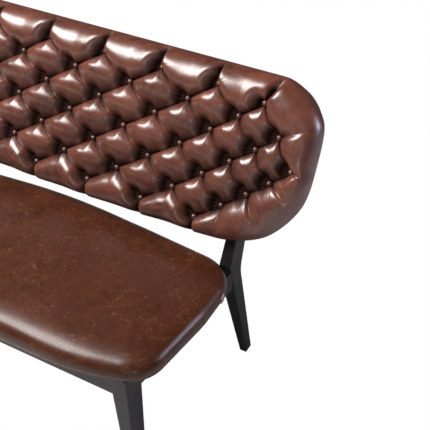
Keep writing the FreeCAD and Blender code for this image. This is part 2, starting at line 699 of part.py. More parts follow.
def border_spokes(outline):
    """Buttons round the edge in order, each with its point on the outline and whether a pleat runs there."""
    last_row = ROWS - 1
    top = HALF_COLUMNS - ROWS_ABOVE
    foot = HALF_COLUMNS - (last_row - ROWS_ABOVE)
    ring = [((column + top) % 2, column) for column in range(-top, top + 1)]
    ring += [(row, HALF_COLUMNS - abs(row - ROWS_ABOVE)) for row in range(1, ROWS)]
    ring += [(last_row - (column + foot) % 2, column) for column in range(foot - 1, -foot, -1)]
    ring += [(row, abs(row - ROWS_ABOVE) - HALF_COLUMNS) for row in range(last_row, 0, -1)]
    hub_across = column_across(foot + 1)
    spokes = []
    for row, column in ring:
        spot = button_spot(row, column)
        if abs(column) > foot and not (row == 1 and abs(column) < top):
            way = spot - Vector(math.copysign(hub_across, column), 0, size("end_hub_height"))
        else:
            way = Vector(0, 0, 1 if row < ROWS / 2 else -1)
        pleated = row in (0, last_row) or abs(column) == HALF_COLUMNS - abs(row - ROWS_ABOVE)
        spokes.append((spot, way.normalize(), pleated))
    return [(spot, way, pleated, outline_hit(outline, spot, way)) for spot, way, pleated in spokes]


def outline_hit(outline, spot, way):
    """Where a straight line from a point leaves the outline."""
    line = Part.makeLine(spot, spot + way * size("back_half_width"))
    return line.distToShape(outline)[1][0][1]


def patch(poles):
    """A curved face on three by three poles."""
    surface = Part.BezierSurface()
    surface.increase(2, 2)
    for row, line in enumerate(poles, start=1):
        for column, pole in enumerate(line, start=1):
            surface.setPole(row, column, pole)
    return surface.toShape()


def middle_pole(first, middle, last):
    """The pole that brings a curve from first to last through a middle point."""
    return middle * 2 - (first + last) * 0.5


def tufted_faces(shrink, rear_inset, rear_plane):
    """Faces of the buttoned pad, smaller by shrink, and their edges in the rear plane."""
    outline = back_outline(shrink)
    rear_outline = back_outline(rear_inset) if rear_inset > 0 else None
    rim = size("back_panel_thickness") + size("back_board_thickness") + size("soft_clearance")
    low = size("button_height") - shrink
    fold = 2 * (size("groove_height") - shrink) - low
    crest_rise = size("crest_height") - size("button_height")
    border = 2 * (size("border_height") - shrink) - (low + rim) / 2
    pleat = border - 2 * size("pleat_depth")
    faces = []
    for row in range(ROWS - 2):
        for column in columns_of(row):
            below = columns_of(row + 2)
            if column not in below:
                continue
            top = button_spot(row, column)
            left = button_spot(row + 1, column - 1)
            right = button_spot(row + 1, column + 1)
            foot = button_spot(row + 2, column)
            centre = (top + left + right + foot) * 0.25
            fullness = (right.x - left.x) / (2 * size("column_step"))
            crest = 4 * (low + crest_rise * fullness) - low - 2 * fold
            faces.append(patch([
                [raised(top, low), raised((top + right) * 0.5, fold), raised(right, low)],
                [raised((top + left) * 0.5, fold), raised(centre, crest), raised((right + foot) * 0.5, fold)],
                [raised(left, low), raised((left + foot) * 0.5, fold), raised(foot, low)],
            ]))
    spokes = border_spokes(outline)
    rear_edges = []
    for step, (spot, way, pleated, hit) in enumerate(spokes):
        next_spot, next_way, next_pleated, next_hit = spokes[(step + 1) % len(spokes)]
        between = (spot + next_spot) * 0.5
        between_way = (way + next_way).normalize()
        edge_pole = middle_pole(hit, outline_hit(outline, between, between_way), next_hit)
        faces.append(patch([
            [raised(spot, low), raised(between, fold), raised(next_spot, low)],
            [raised(hit, pleat if pleated else border), raised(edge_pole, border),
             raised(next_hit, pleat if next_pleated else border)],
            [raised(hit, rim), raised(edge_pole, rim), raised(next_hit, rim)],
        ]))
        rear = [raised(hit, rim), raised(edge_pole, rim), raised(next_hit, rim)]
        if rear_outline:
            ends = [outline_hit(rear_outline, spot, way), outline_hit(rear_outline, next_spot, next_way)]
            rear_pole = middle_pole(ends[0], outline_hit(rear_outline, between, between_way), ends[1])
            turn = (rim + rear_plane) / 2
            drawn_in = [raised(ends[0], rear_plane), raised(rear_pole, rear_plane), raised(ends[1], rear_plane)]
            faces.append(patch([
                rear,
                [raised(hit, turn), raised(edge_pole, turn), raised(next_hit, turn)],
                drawn_in,
            ]))
            rear = drawn_in
        curve = Part.BezierCurve()
        curve.setPoles(rear)
        rear_edges.append(curve.toShape())
    return faces, rear_edges


def closed_solid(faces):
    shell = Part.makeShell(faces)
    shell.sewShape()
    solid = Part.makeSolid(Part.Shell(shell.Faces))
    if solid.Volume < 0:
        solid.reverse()
    return solid


button_spots = [button_spot(row, column) for row in range(ROWS) for column in columns_of(row)]


def pins_at_buttons(radius, start, stop):
    """Round solids through the back at every button, between two heights in front of the legs."""
    forward = Vector(0, -1, 0)
    pins = [Part.makeCylinder(radius, stop - start, raised(spot, start), forward) for spot in button_spots]
    return Part.makeCompound(pins)


rear_plane = size("back_panel_thickness")
leather_rear_inset = size("back_draw_in") + size("leather")
outer_faces, outer_edges = tufted_faces(0, size("back_draw_in"), rear_plane)
inner_faces, inner_edges = tufted_faces(size("leather"), leather_rear_inset, rear_plane)
rear_ring = Part.Face(Part.Wire(outer_edges)).cut(Part.Face(Part.Wire(inner_edges))).Faces[0]
shank_hole = size("shank_radius") + size("hole_clearance")
shank_foot = size("button_height") + size("button_lift") - size("shank_length")
leather_holes = pins_at_buttons(shank_hole, shank_foot, size("crest_height"))
cover_solid = closed_solid(outer_faces + inner_faces + [rear_ring])
keep(lean_back(feature("back_leather", cover_solid.cut(leather_holes))), "back_cover")

foam_faces, foam_edges = tufted_faces(foam_shrink, 0, 0)
foam_foot = Part.Face(Part.Wire(foam_edges))
foam_holes = pins_at_buttons(size("tie_hole_radius"), rear_plane, size("crest_height"))
foam_solid = closed_solid(foam_faces + [foam_foot])
keep(lean_back(feature("back_padding", foam_solid.cut(foam_holes))), "back_foam")


def button():
    """A domed, covered button on its shank, turned about the y axis."""
    rim = size("button_radius")
    dome = size("button_dome")
    shank = size("shank_radius")
    curve = (rim ** 2 + dome ** 2) / (2 * dome)
    half_way = math.asin(rim / curve) / 2
    middle = Vector(curve * math.sin(half_way), curve - dome - curve * math.cos(half_way), 0)
    points = [Vector(0, size("shank_length"), 0), Vector(shank, size("shank_length"), 0), Vector(shank, 0, 0),
              Vector(rim, 0, 0)]
    edges = [Part.LineSegment(first, last).toShape() for first, last in zip(points, points[1:])]
    edges.append(Part.Arc(points[-1], middle, Vector(0, -dome, 0)).toShape())
    edges.append(Part.LineSegment(Vector(0, -dome, 0), points[0]).toShape())
    return Part.Face(Part.Wire(edges)).revolve(Vector(), Vector(0, 1, 0), 360)


one_button = button()
button_rim = size("button_height") + size("button_lift")
all_buttons = Part.makeCompound([one_button.translated(raised(spot, button_rim)) for spot in button_spots])
keep(lean_back(feature("buttons", all_buttons)), "back_buttons")
tie_start = rear_plane + size("soft_clearance")
ties = pins_at_buttons(size("tie_radius"), tie_start, shank_foot - size("soft_clearance"))
keep(lean_back(feature("ties", ties)), "button_ties")

# Back: bolts through the rear legs into T-nuts in the back board
BOLT_ACROSS = "(rear_leg_outer - upper_width / 2)"
BOARD_FRONT = "(back_panel_thickness + back_board_thickness)"


def at_bolts(name, radius, start, length):
    """Round solids on the four bolts' lines, from a start behind the legs' plane towards the front."""
    solids = []
    for side, sign in SIDES.items():
        for number, up in enumerate(("bolt_low", "bolt_low + bolt_spacing"), start=1):
            solids.append(cylinder(f"{name}_{side}_{number}", radius, length,
                                   f"{sign} * {BOLT_ACROSS}", start, up, Vector(0, -1, 0)))
    return solids


def paired(name, operation, bases, tools):
    """Joins or cuts each base with its tool."""
    solids = []
    for number, (base, tool) in enumerate(zip(bases, tools), start=1):
        solid = doc.addObject(operation, f"{name}_{number}")
        solid.Base = base
        solid.Tool = tool
        solids.append(solid)
    return solids


washer_rear = "bolt_wood + washer_thickness"
shanks = at_bolts("bolt_shank", "bolt_radius", washer_rear, f"{washer_rear} + {BOARD_FRONT} - hole_clearance")
heads = at_bolts("bolt_head", "bolt_head_radius", f"{washer_rear} + bolt_head_height", "bolt_head_height")
keep(lean_back(compound("bolts", paired("bolt", "Part::Fuse", heads, shanks))), "back_bolts")

washer_discs = at_bolts("washer_disc", "washer_radius", washer_rear, "washer_thickness")
washer_holes = at_bolts("washer_hole", "bolt_radius + hole_clearance", washer_rear, "washer_thickness")
washers = paired("washer", "Part::Cut", washer_discs, washer_holes)
keep(lean_back(compound("washers", washers)), "back_washers")

flanges = at_bolts("t_nut_disc", "t_nut_flange_radius", f"t_nut_flange - {BOARD_FRONT}", "t_nut_flange")
barrels = at_bolts("t_nut_barrel", "t_nut_radius", f"t_nut_length - {BOARD_FRONT}", "t_nut_length")
t_nut_bores = at_bolts("t_nut_bore", "bolt_radius + hole_clearance", f"t_nut_length - {BOARD_FRONT}",
                       "t_nut_length")
t_nut_blanks = paired("t_nut_blank", "Part::Fuse", flanges, barrels)
keep(lean_back(compound("t_nuts", paired("t_nut", "Part::Cut", t_nut_blanks, t_nut_bores))), "back_t_nuts")

board_bores = at_bolts("board_bore", "t_nut_radius + hole_clearance", "0 * bolt_wood", BOARD_FRONT)
board_recesses = at_bolts("board_recess", "t_nut_flange_radius + hole_clearance",
                          f"t_nut_flange - {BOARD_FRONT}", "t_nut_flange")
tie_bores = feature("tie_bores", pins_at_buttons(size("tie_hole_radius"), 0, size("button_height")))
back_board = back_plate("back_board_blank", leather_rear_inset + size("soft_clearance"),
                        "back_panel_thickness", "back_board_thickness")
board_holes = compound("board_holes", board_bores + board_recesses + [tie_bores])
keep(lean_back(cut("back_board_drilled", back_board, board_holes)), "back_board")

panel_edge = size("back_draw_in") + 2 * size("back_welt_radius") + size("soft_clearance")
panel = back_plate("back_panel_blank", panel_edge, "0 * back_panel_thickness", "back_panel_thickness")
panel_holes = compound("panel_holes", at_bolts("panel_hole", "bolt_radius + hole_clearance", "bolt_wood",
                                               f"bolt_wood + {BOARD_FRONT}"))
keep(lean_back(cut("back_panel_drilled", panel, panel_holes)), "back_outside_panel")

back_welt_path = back_outline(size("back_draw_in") + size("back_welt_radius")).translated(
    Vector(0, size("back_welt_radius") + size("soft_clearance") - size("back_panel_thickness"), 0))
keep(lean_back(feature("back_cord", cord_round(back_welt_path, size("back_welt_radius")))), "back_welt")

# Legs, drilled for their dowels and bolts
leg_bores = at_bolts("leg_bore", "bolt_radius + hole_clearance", "2 * bolt_wood", "2 * bolt_wood")
leg_recesses = at_bolts("leg_recess", "washer_radius + hole_clearance", "bend_depth * 2",
                        "bend_depth * 2 - bolt_wood")
leg_bolt_holes = lean_back(compound("leg_bolt_holes", leg_bores + leg_recesses))
leg_holes = compound("leg_holes", [dowel_holes, leg_bolt_holes])
for place, blank in legs.items():
    end, side = place.split("_")
    keep(cut(f"{end}_leg_drilled_{side}", blank, leg_holes), f"{end}_leg_{side}")

# Check every object, then write each sub-part
doc.recompute()
failed = [item.Name for item in doc.Objects if {"Invalid", "Error"} & set(item.State)]
failed += [item.Label for item in sub_parts if item.Shape.isNull() or not item.Shape.isValid()]
if failed:
    raise RuntimeError(f"failed: {failed}")
for item in sub_parts:
    item.Shape.exportStep(f"parts/{item.Label}.step")
    print(item.Label, len(item.Shape.Solids), round(item.Shape.Volume / 1000, 1), "cm3")
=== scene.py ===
import math

import bmesh
import bpy
import numpy as np
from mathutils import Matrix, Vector, noise


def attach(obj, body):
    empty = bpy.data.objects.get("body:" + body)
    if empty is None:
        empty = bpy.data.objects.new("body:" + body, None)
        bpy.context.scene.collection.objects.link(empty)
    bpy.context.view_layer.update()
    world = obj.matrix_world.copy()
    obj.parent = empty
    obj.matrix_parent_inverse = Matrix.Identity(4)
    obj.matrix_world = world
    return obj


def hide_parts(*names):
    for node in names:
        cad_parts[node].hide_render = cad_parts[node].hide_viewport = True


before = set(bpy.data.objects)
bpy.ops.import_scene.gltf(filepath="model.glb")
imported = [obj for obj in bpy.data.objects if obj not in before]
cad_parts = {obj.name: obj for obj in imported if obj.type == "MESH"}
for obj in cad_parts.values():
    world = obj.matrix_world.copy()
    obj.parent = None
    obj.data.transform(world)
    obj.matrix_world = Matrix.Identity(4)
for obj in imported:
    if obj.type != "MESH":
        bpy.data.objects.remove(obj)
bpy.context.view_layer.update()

MM = 0.001
JOIN_DISTANCE = 0.03 * MM

# Camera at the photograph's viewing angle
CAMERA_PLACE = (1.1955, -1.238, 1.833)
CAMERA_AZIMUTH = 28.76
CAMERA_ELEVATION = 39.22
CAMERA_LENS = 72.0
CAMERA_SENSOR = 36.0

camera_data = bpy.data.cameras.new("camera")
camera_data.lens = CAMERA_LENS
camera_data.sensor_width = CAMERA_SENSOR
camera = bpy.data.objects.new("camera", camera_data)
camera.location = CAMERA_PLACE
camera.rotation_euler = (math.radians(90 - CAMERA_ELEVATION), 0, math.radians(CAMERA_AZIMUTH))
bpy.context.scene.collection.objects.link(camera)
bpy.context.scene.camera = camera


# Materials
def new_material(name):
    """A material with its node tree, shader and object coordinates."""
    material = bpy.data.materials.new(name)
    material.use_nodes = True
    tree = material.node_tree
    shader = tree.nodes["Principled BSDF"]
    place = tree.nodes.new("ShaderNodeTexCoord").outputs["Object"]
    return material, tree, shader, place


def node(tree, kind, inputs=None, **settings):
    """Adds a node, sets its properties, and sets or links its inputs."""
    made = tree.nodes.new(kind)
    for name, value in settings.items():
        setattr(made, name, value)
    for name, value in (inputs or {}).items():
        if isinstance(value, bpy.types.NodeSocket):
            tree.links.new(value, made.inputs[name])
        else:
            made.inputs[name].default_value = value
    return made


def noise_at(tree, place, scale, detail=4.0, roughness=0.55, stretch=(1, 1, 1), distortion=0.0):
    """Noise over object coordinates, stretched along the axes."""
    mapped = node(tree, "ShaderNodeMapping", {"Vector": place, "Scale": stretch}).outputs["Vector"]
    wanted = {"Vector": mapped, "Scale": scale, "Detail": detail, "Roughness": roughness,
              "Distortion": distortion}
    return node(tree, "ShaderNodeTexNoise", wanted).outputs["Fac"]


def ramp(tree, factor, stops):
    """A colour ramp; each stop is a position and a colour."""
    made = node(tree, "ShaderNodeValToRGB", {"Fac": factor})
    elements = made.color_ramp.elements
    for step, (position, colour) in enumerate(stops):
        element = elements[step] if step < len(elements) else elements.new(position)
        element.position = position
        element.color = (*colour, 1)
    return made.outputs["Color"]


def grey(value):
    """A grey colour."""
    return (value, value, value)


MIX_FACTOR = 0
MIX_FIRST_COLOUR = 6
MIX_SECOND_COLOUR = 7
MIX_RESULT_COLOUR = 2


def mix(tree, factor, first, second, blend="MIX"):
    """Mixes two colours by a share; each may be a value or a socket."""
    wanted = {MIX_FACTOR: factor, MIX_FIRST_COLOUR: first, MIX_SECOND_COLOUR: second}
    made = node(tree, "ShaderNodeMix", wanted, data_type="RGBA", blend_type=blend)
    return made.outputs[MIX_RESULT_COLOUR]


def bump(tree, height, strength, distance, normal=None):
    """A bumped normal from a height, over another normal where one is given."""
    wanted = {"Height": height, "Strength": strength, "Distance": distance}
    if normal is not None:
        wanted["Normal"] = normal
    return node(tree, "ShaderNodeBump", wanted).outputs["Normal"]


VEIN_LIFT = (2.2, 2.9, 3.4)
CREASE_SHARE = 1.4
# Painted shade in the hollows: how far the colour is darkened there, and how rough and dull the leather is
# made.
PAINTED_SHADE_DARKEN = 0.3
HOLLOW_ROUGH = 0.7
HOLLOW_SHINE = 0.08


def leather_material(name, deep, mid, pale, vein_share, rough, shine=0.55, grain=0.12):
    """Waxed brown leather: cloudy colour, pale pull-up veins, fine pebbled grain, and painted shade in the
    hollows, where the colour is darkened and the leather made duller.
    """
    material, tree, shader, place = new_material(name)
    clouds = noise_at(tree, place, scale=9.0, detail=6.0, roughness=0.6, distortion=0.6)
    colour = ramp(tree, clouds, [(0.32, deep), (0.5, mid), (0.7, pale)])
    mottle = noise_at(tree, place, scale=60.0, detail=5.0, roughness=0.65, distortion=1.2)
    mottle_share = ramp(tree, mottle, [(0.38, grey(0.0)), (0.7, grey(0.8))])
    colour = mix(tree, mottle_share, colour, (*pale, 1))
    wander = noise_at(tree, place, scale=14.0, detail=3.0, roughness=0.6)
    bent = node(tree, "ShaderNodeVectorMath", {0: place, 1: wander}, operation="ADD").outputs["Vector"]
    cracks = node(tree, "ShaderNodeTexVoronoi", {"Vector": bent, "Scale": 22.0}, feature="DISTANCE_TO_EDGE")
    veins = ramp(tree, cracks.outputs["Distance"], [(0.0, grey(vein_share)), (0.045, grey(0.0))])
    patches = noise_at(tree, place, scale=11.0, detail=3.0)
    patch_share = ramp(tree, patches, [(0.34, grey(0.0)), (0.56, grey(1.0))])
    veins = mix(tree, 1.0, veins, patch_share, "MULTIPLY")
    vein_colour = [channel * lift for channel, lift in zip(pale, VEIN_LIFT)]
    colour = mix(tree, veins, colour, (*vein_colour, 1))
    # Painted shade: the hollow mask darkens the colour and takes away shine and coat in the pockets.
    painted_hollow_shade = node(tree, "ShaderNodeAttribute", attribute_name="painted_hollow_shade").outputs["Fac"]
    painted_shade_colour = [channel * PAINTED_SHADE_DARKEN for channel in deep]
    colour = mix(tree, painted_hollow_shade, colour, (*painted_shade_colour, 1))
    tree.links.new(colour, shader.inputs["Base Color"])
    gloss = noise_at(tree, place, scale=26.0, detail=5.0, roughness=0.6)
    gloss = ramp(tree, gloss, [(0.3, grey(rough - 0.03)), (0.72, grey(rough + 0.05))])
    tree.links.new(mix(tree, painted_hollow_shade, gloss, (*grey(HOLLOW_ROUGH), 1)), shader.inputs["Roughness"])
    reflected = ramp(tree, painted_hollow_shade, [(0.0, grey(shine)), (1.0, grey(HOLLOW_SHINE))])
    tree.links.new(reflected, shader.inputs["Specular IOR Level"])
    pebble = node(tree, "ShaderNodeTexVoronoi", {"Vector": place, "Scale": 620.0, "Randomness": 1.0})
    creases = noise_at(tree, place, scale=190.0, detail=6.0, roughness=0.7)
    normal = bump(tree, pebble.outputs["Distance"], strength=grain, distance=0.0006)
    normal = bump(tree, creases, strength=grain * CREASE_SHARE, distance=0.0012, normal=normal)
    tree.links.new(normal, shader.inputs["Normal"])
    coat = ramp(tree, painted_hollow_shade, [(0.0, grey(0.1)), (1.0, grey(0.0))])
    tree.links.new(coat, shader.inputs["Coat Weight"])
    shader.inputs["Coat Roughness"].default_value = 0.2
    return material


def wood_material():
    """Black-stained wood with a satin lacquer; the grain shows as fine raised lines."""
    material, tree, shader, place = new_material("black_wood")
    fibres = noise_at(tree, place, scale=9.0, detail=8.0, roughness=0.65, stretch=(9, 9, 0.7))
    tone = noise_at(tree, place, scale=3.0, detail=4.0)
    colour = ramp(tree, fibres, [(0.3, (0.003, 0.0026, 0.003)), (0.7, (0.009, 0.0082, 0.0094))])
    paler = ramp(tree, tone, [(0.4, grey(0.0)), (0.8, grey(0.4))])
    colour = mix(tree, paler, colour, (0.014, 0.0128, 0.0145, 1))
    tree.links.new(colour, shader.inputs["Base Color"])
    gloss = ramp(tree, fibres, [(0.3, grey(0.36)), (0.75, grey(0.5))])
    tree.links.new(gloss, shader.inputs["Roughness"])
    tree.links.new(bump(tree, fibres, strength=0.12, distance=0.0006), shader.inputs["Normal"])
    shader.inputs["Specular IOR Level"].default_value = 0.35
    return material


def plywood_material():
    """Pale wood with long fibres along the board."""
    material, tree, shader, place = new_material("plywood")
    fibres = noise_at(tree, place, scale=7.0, detail=7.0, roughness=0.6, stretch=(1, 14, 14))
    colour = ramp(tree, fibres, [(0.3, (0.36, 0.22, 0.11)), (0.7, (0.6, 0.43, 0.25))])
    tree.links.new(colour, shader.inputs["Base Color"])
    tree.links.new(bump(tree, fibres, strength=0.15, distance=0.0008), shader.inputs["Normal"])
    shader.inputs["Roughness"].default_value = 0.7
    return material


def cloth_material(name, dark, light):
    """Plain woven cloth: two crossed sets of threads."""
    material, tree, shader, place = new_material(name)
    waves = {"Vector": place, "Scale": 420.0, "Distortion": 0.6}
    warp = node(tree, "ShaderNodeTexWave", waves, bands_direction="X")
    weft = node(tree, "ShaderNodeTexWave", waves, bands_direction="Y")
    threads = mix(tree, 0.5, warp.outputs["Color"], weft.outputs["Color"])
    tree.links.new(ramp(tree, threads, [(0.2, dark), (0.8, light)]), shader.inputs["Base Color"])
    tree.links.new(bump(tree, threads, strength=0.3, distance=0.0004), shader.inputs["Normal"])
    shader.inputs["Roughness"].default_value = 0.9
    return material


def steel_material():
    """Brushed steel."""
    material, tree, shader, place = new_material("steel")
    brushed = noise_at(tree, place, scale=300.0, detail=3.0, stretch=(1, 1, 12))
    colour = ramp(tree, brushed, [(0.3, grey(0.42)), (0.7, grey(0.6))])
    tree.links.new(colour, shader.inputs["Base Color"])
    gloss = ramp(tree, brushed, [(0.3, grey(0.28)), (0.7, grey(0.42))])
    tree.links.new(gloss, shader.inputs["Roughness"])
    shader.inputs["Metallic"].default_value = 1.0
    return material


def glide_material():
    """Black plastic with a finely grained face."""
    material, tree, shader, place = new_material("glide")
    specks = noise_at(tree, place, scale=500.0, detail=3.0)
    colour = ramp(tree, specks, [(0.3, grey(0.012)), (0.7, grey(0.028))])
    tree.links.new(colour, shader.inputs["Base Color"])
    tree.links.new(bump(tree, specks, strength=0.2, distance=0.0003), shader.inputs["Normal"])
    shader.inputs["Roughness"].default_value = 0.6
    return material


BACK_LEATHER = leather_material(
    "back_leather", deep=(0.032, 0.0082, 0.0048), mid=(0.064, 0.0175, 0.0102),
    pale=(0.115, 0.0355, 0.0215), vein_share=0.3, rough=0.31, shine=0.75)
SEAT_LEATHER = leather_material(
    "seat_leather", deep=(0.026, 0.0066, 0.0024), mid=(0.034, 0.0088, 0.0034),
    pale=(0.05, 0.0148, 0.0062), vein_share=0.85, rough=0.32, shine=0.26)
# Tab: leather painted far paler than the seat, a painted highlight at the seat's rear corner.
TAB_HIGHLIGHT_LEATHER = leather_material(
    "tab_leather", deep=(0.2, 0.11, 0.085), mid=(0.27, 0.15, 0.12),
    pale=(0.34, 0.2, 0.16), vein_share=0.1, rough=0.5)
# Buttons: the back's leather made darker, painted shade for the deep pockets they sit in.
SHADED_BUTTON_LEATHER = leather_material(
    "shaded_button_leather", deep=(0.02, 0.006, 0.004), mid=(0.04, 0.012, 0.008),
    pale=(0.06, 0.02, 0.013), vein_share=0.1, rough=0.3)
# Welts: leather painted paler than the covers, a painted highlight line along the cushion edges.
WELT_HIGHLIGHT_LEATHER = leather_material(
    "welt_highlight_leather", deep=(0.06, 0.018, 0.011), mid=(0.1, 0.033, 0.02),
    pale=(0.16, 0.062, 0.04), vein_share=0.3, rough=0.36)
BLACK_WOOD = wood_material()
PLYWOOD = plywood_material()
DUST_CLOTH = cloth_material("dust_cloth", dark=grey(0.01), light=grey(0.045))
TWINE = cloth_material("twine", dark=(0.42, 0.36, 0.26), light=(0.7, 0.64, 0.5))
STEEL = steel_material()
GLIDE = glide_material()

NODE_LOOKS = {
    "front_leg_left": BLACK_WOOD, "front_leg_right": BLACK_WOOD, "rear_leg_left": BLACK_WOOD,
    "rear_leg_right": BLACK_WOOD, "front_rail": BLACK_WOOD, "rear_rail": BLACK_WOOD,
    "side_rail_left": BLACK_WOOD, "side_rail_right": BLACK_WOOD, "centre_rail": BLACK_WOOD,
    "corner_blocks": PLYWOOD, "rail_dowels": PLYWOOD, "seat_board": PLYWOOD, "back_board": PLYWOOD,
    "foot_glides": GLIDE, "dust_cover": DUST_CLOTH, "button_ties": TWINE,
    "seat_screws": STEEL, "back_bolts": STEEL, "back_washers": STEEL, "back_t_nuts": STEEL,
    "seat_welt": WELT_HIGHLIGHT_LEATHER, "back_welt": WELT_HIGHLIGHT_LEATHER, "back_buttons": SHADED_BUTTON_LEATHER,
    "seat_tab": TAB_HIGHLIGHT_LEATHER, "back_outside_panel": BACK_LEATHER,
}
for name, look in NODE_LOOKS.items():
    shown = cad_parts[name]
    shown.data.materials.clear()
    shown.data.materials.append(look)


# Meshes
def add_piece(name, points, faces, material, painted_hollow_shade=None):
    """A smooth mesh from points in millimetres, with doubled points joined; it can carry a painted shade
    mask for its hollows.
    """
    mesh = bpy.data.meshes.new(name)
    mesh.from_pydata((np.asarray(points) * MM).tolist(), [], faces)
    work = bmesh.new()
    work.from_mesh(mesh)
    if painted_hollow_shade is not None:
        layer = work.verts.layers.float.new("painted_hollow_shade")
        for vert, value in zip(work.verts, painted_hollow_shade):
            vert[layer] = float(value)
    bmesh.ops.remove_doubles(work, verts=work.verts, dist=JOIN_DISTANCE)
    bmesh.ops.recalc_face_normals(work, faces=work.faces)
    for face in work.faces:
        face.smooth = True
    work.to_mesh(mesh)
    work.free()
    mesh.materials.append(material)
    piece = bpy.data.objects.new(name, mesh)
    bpy.context.scene.collection.objects.link(piece)
    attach(piece, "root")
    return piece


def grid_faces(rows, columns, start, closed=False):
    """Quads of a grid of points, numbered row by row."""
    faces = []
    for row in range(rows - 1):
        for column in range(columns if closed else columns - 1):
            beside = (column + 1) % columns
            faces.append((start + row * columns + column, start + row * columns + beside,
                          start + (row + 1) * columns + beside, start + (row + 1) * columns + column))
    return faces


def rounded_path(corners, step):
    """Points round a closed outline of corners with radii, at about a given step."""
    points = []
    count = len(corners)
    ends = []
    for index, (x, y, radius) in enumerate(corners):
        here = np.array([x, y], float)
        before = np.array(corners[index - 1][:2]) - here
        after = np.array(corners[(index + 1) % count][:2]) - here
        before /= np.linalg.norm(before)
        after /= np.linalg.norm(after)
        half = math.acos(np.clip(before @ after, -1, 1)) / 2
        reach = radius / math.tan(half)
        inward = (before + after) / np.linalg.norm(before + after)
        centre = here + inward * radius / math.sin(half)
        ends.append((here + before * reach, here + after * reach, centre, radius))
    for index, (first, last, centre, radius) in enumerate(ends):
        start = math.atan2(*(first - centre)[::-1])
        turn = (math.atan2(*(last - centre)[::-1]) - start + math.pi) % (2 * math.pi) - math.pi
        arc_steps = max(2, round(abs(turn) * radius / step))
        for part in range(arc_steps):
            angle = start + turn * part / arc_steps
            points.append(centre + radius * np.array([math.cos(angle), math.sin(angle)]))
        onward = ends[(index + 1) % count][0] - last
        line_steps = max(1, round(np.linalg.norm(onward) / step))
        for part in range(line_steps):
            points.append(last + onward * part / line_steps)
    return np.array(points)


# Back: set-out of the buttons, in millimetres along the back, up its slope and in front of the legs
LEAN = math.radians(22.5)
BEND_DEPTH = 130.0
BEND_HEIGHT = 408.0
ROWS = 7
ROWS_ABOVE = 2
HALF_COLUMNS = 9
PLAIN_COLUMNS = 4
TOP_ROW = 441.0
ROW_STEP = 54.0
COLUMN_STEP = 79.5
END_SHRINK = 0.89
END_DROOP = 42.0
DROOP_START = 362.0


def leaned(across, up, out):
    """Points of the back in the row frame."""
    return np.stack([across, BEND_DEPTH + up * math.sin(LEAN) - out * math.cos(LEAN),
                     BEND_HEIGHT + up * math.cos(LEAN) + out * math.sin(LEAN)], axis=-1)


def last_column(row):
    """The outermost column of a row, counted from the middle."""
    return HALF_COLUMNS - abs(row - ROWS_ABOVE)


def columns_of(row):
    """The columns of a row that hold buttons; rows are staggered, so each skips every second one."""
    return range(-last_column(row), last_column(row) + 1, 2)


def column_across(column):
    """A column's place along the back; columns draw together towards the ends."""
    across, step = 0.0, COLUMN_STEP
    for count in range(1, abs(column) + 1):
        if count > PLAIN_COLUMNS:
            step *= END_SHRINK
        across += step
    return math.copysign(across, column)


def spot(row, column):
    """A button's place, along the back and up its slope."""
    across = column_across(column)
    room = column_across(HALF_COLUMNS) - DROOP_START
    droop = END_DROOP * (max(0, abs(across) - DROOP_START) / room) ** 2
    return np.array([across, TOP_ROW - row * ROW_STEP - droop])


BUTTONS = [(row, column) for row in range(ROWS) for column in columns_of(row)]
BUTTON_SPOTS = np.array([spot(*button) for button in BUTTONS])


# Back: diamonds between the buttons
BUTTON_LOW = 41.5
GROOVE = 49.0
CREST = 80.0
CREST_SPARE = 2.0
SOFT_FOLD = 8.0
LEFT_FOLD_BOW = 5.0
RIGHT_FOLD_BOW = -2.5
BOW_SKEW = 0.8
PUFF_TO_RIGHT = (0.3, 0.85)
PUFF_TO_LEFT = (0.5, 0.75)
CELL = 37


def arch(share):
    """A section that is zero at both ends and one in the middle."""
    return 4 * share * (1 - share)


def pillow(share, first, last):
    """A puffed section, zero at both ends; small powers rise steeply."""
    peak = first / (first + last)
    return share ** first * (1 - share) ** last / (peak ** first * (1 - peak) ** last)


def spread(count):
    """Shares from 0 to 1, closer together at both ends."""
    return (1 - np.cos(math.pi * np.arange(count) / (count - 1))) / 2


shares = spread(CELL)
back_points = []
back_faces = []


def fold_line(first, last):
    """Points of the fold between two neighbouring buttons; it bows a little to one side."""
    start, end = spot(*first), spot(*last)
    straight = start[None] + (end - start)[None] * shares[:, None]
    upper, lower = (first, last) if first[0] < last[0] else (last, first)
    way = spot(*lower) - spot(*upper)
    sideways = np.array([way[1], -way[0]]) / np.linalg.norm(way)
    falls_right = lower[1] > upper[1]
    along = shares if first is upper else 1 - shares
    bow = (LEFT_FOLD_BOW if falls_right else RIGHT_FOLD_BOW) * np.sin(math.pi * along ** BOW_SKEW)
    return straight + sideways[None] * bow[:, None]


def collect(plan, out, closed=False):
    """Adds a grid of back points and its quads."""
    start = sum(len(block) for block in back_points)
    back_points.append(np.concatenate([plan.reshape(-1, 2), out.reshape(-1, 1)], axis=1))
    back_faces.extend(grid_faces(plan.shape[0], plan.shape[1], start, closed))


def diamond_plan(top, right, left, foot):
    """Plan of a diamond between four buttons, fitted to the folds on its four sides."""
    to_right = shares[:, None, None]
    to_left = shares[None, :, None]
    flat = (1 - to_right) * (1 - to_left) * spot(*top) + to_right * (1 - to_left) * spot(*right)
    flat = flat + (1 - to_right) * to_left * spot(*left) + to_right * to_left * spot(*foot)
    plan = (1 - to_left) * fold_line(top, right)[:, None] + to_left * fold_line(left, foot)[:, None]
    plan = plan + (1 - to_right) * fold_line(top, left)[None] + to_right * fold_line(right, foot)[None]
    return plan - flat


